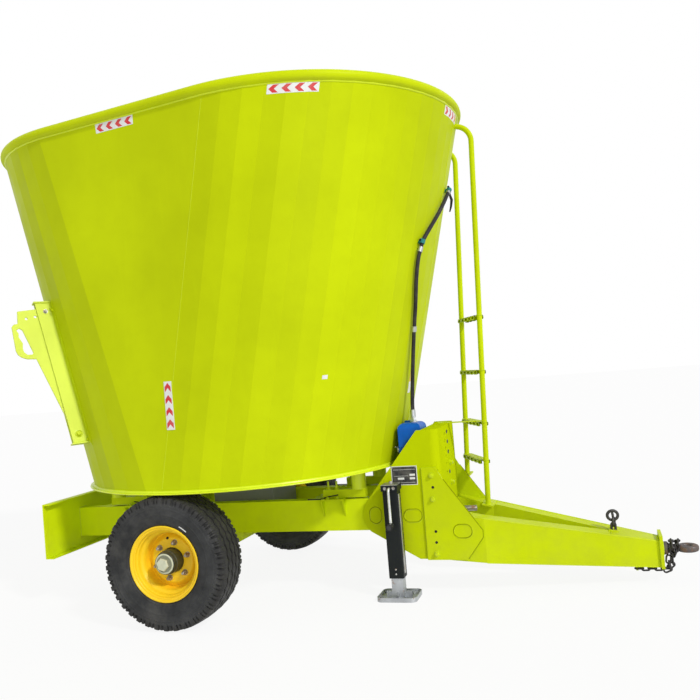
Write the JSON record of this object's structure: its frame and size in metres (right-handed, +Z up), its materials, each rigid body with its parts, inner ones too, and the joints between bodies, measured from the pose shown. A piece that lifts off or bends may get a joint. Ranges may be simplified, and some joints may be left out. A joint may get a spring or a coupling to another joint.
{
  "type": "feed mixer wagon",
  "caption": "Towed feed mixer with an egg-shaped open tub, a conical auger inside, a V drawbar with an eye, a parking jack and a ladder.",
  "frame": {"origin": "on the ground, under the middle of the overall box", "axes": "+X along the wagon towards the hitch eye, +Y to its left side, +Z up"},
  "size_m": [4.341, 2.2298, 2.9899],
  "materials": {
    "black": "black paint",
    "blue": "blue plastic tank",
    "dark_steel": "dark worn steel of the eye and chain",
    "green": "lime green gloss paint",
    "grey": "grey paint on the gearbox",
    "hose": "black rubber hose",
    "hub": "dark olive paint on the hubs",
    "orange": "yellow-orange gloss paint on the rims",
    "teal": "teal plastic clips",
    "tyre": "black tyre rubber",
    "worn_steel": "worn bare steel of the auger and blades",
    "zinc": "dull zinc"
  },
  "bodies": {
    "wagon": {"rail_right": "green", "rail_left": "green", "cross_members": "green", "axle_beam": "green", "rear_bumper": "green", "front_post": "green", "gusset_plate_right": "green", "gusset_plate_left": "green", "drawbar_beam_right": "green", "drawbar_beam_left": "green", "hitch_plate": "green", "hitch_eye": "dark_steel", "safety_chain": "dark_steel", "shaft_rest": "dark_steel", "jack_tube": "black", "jack_crank": "zinc", "load_cells": "zinc", "load_cell_brackets": "green", "tub_shell": "green", "tub_floor": "green", "tub_rim": "green", "ladder_rails": "green", "ladder_treads": "green", "ladder_brackets": "green", "oil_tank": "blue", "oil_hose": "hose", "hose_clips": "teal", "door_frame": "green", "door_cylinder": "black", "counter_knife_bracket_right": "green", "counter_knife_bracket_left": "green", "gearbox": "grey", "pto_bearing": "green"},
    "wheel_right": {"tyre_right": "tyre", "rim_right": "orange", "hub_right": "hub"},
    "wheel_left": {"tyre_left": "tyre", "rim_left": "orange", "hub_left": "hub"},
    "auger": {"auger_core": "worn_steel", "auger_flight": "worn_steel", "auger_knives": "worn_steel"},
    "input_shaft": {"pto_shaft": "worn_steel"},
    "door": {"discharge_door": "green", "door_cylinder_rod": "zinc"},
    "knife_right": {"counter_knife_right": "green"},
    "knife_left": {"counter_knife_left": "green"},
    "jack_leg": {"jack_leg": "zinc"}
  },
  "joints": [
    {"name": "wheel_right_spin", "type": "hinge", "parent": "wagon", "child": "wheel_right", "pos_m": [-0.6995, -0.929, 0.38], "axis": [0, 1, 0], "continuous": true},
    {"name": "wheel_left_spin", "type": "hinge", "parent": "wagon", "child": "wheel_left", "pos_m": [-0.6995, 0.929, 0.38], "axis": [0, 1, 0], "continuous": true},
    {"name": "auger_spin", "type": "hinge", "parent": "wagon", "child": "auger", "pos_m": [-0.5775, 0, 0.9], "axis": [0, 0, 1], "continuous": true},
    {"name": "input_spin", "type": "hinge", "parent": "wagon", "child": "input_shaft", "pos_m": [0.7005, 0, 0.45], "axis": [1, 0, 0], "continuous": true},
    {"name": "door_slide", "type": "slide", "parent": "wagon", "child": "door", "axis": [0.1259, 0.1259, 0.984], "range_m": [0, 0.54]},
    {"name": "knife_right_swing", "type": "hinge", "parent": "wagon", "child": "knife_right", "pos_m": [-1.3544, -0.81839, 1.11958], "axis": [-0.7524, 0.618, -0.2279], "range_deg": [0, 9]},
    {"name": "knife_left_swing", "type": "hinge", "parent": "wagon", "child": "knife_left", "pos_m": [-1.3544, 0.81839, 1.11958], "axis": [0.7524, 0.618, 0.2279], "range_deg": [0, 9]},
    {"name": "jack_slide", "type": "slide", "parent": "wagon", "child": "jack_leg", "axis": [0, 0, 1], "range_m": [-0.09, 0.075]}
  ],
  "couplings": [
    {"joint": "input_spin", "follows": "auger_spin", "ratio": 20}
  ]
}
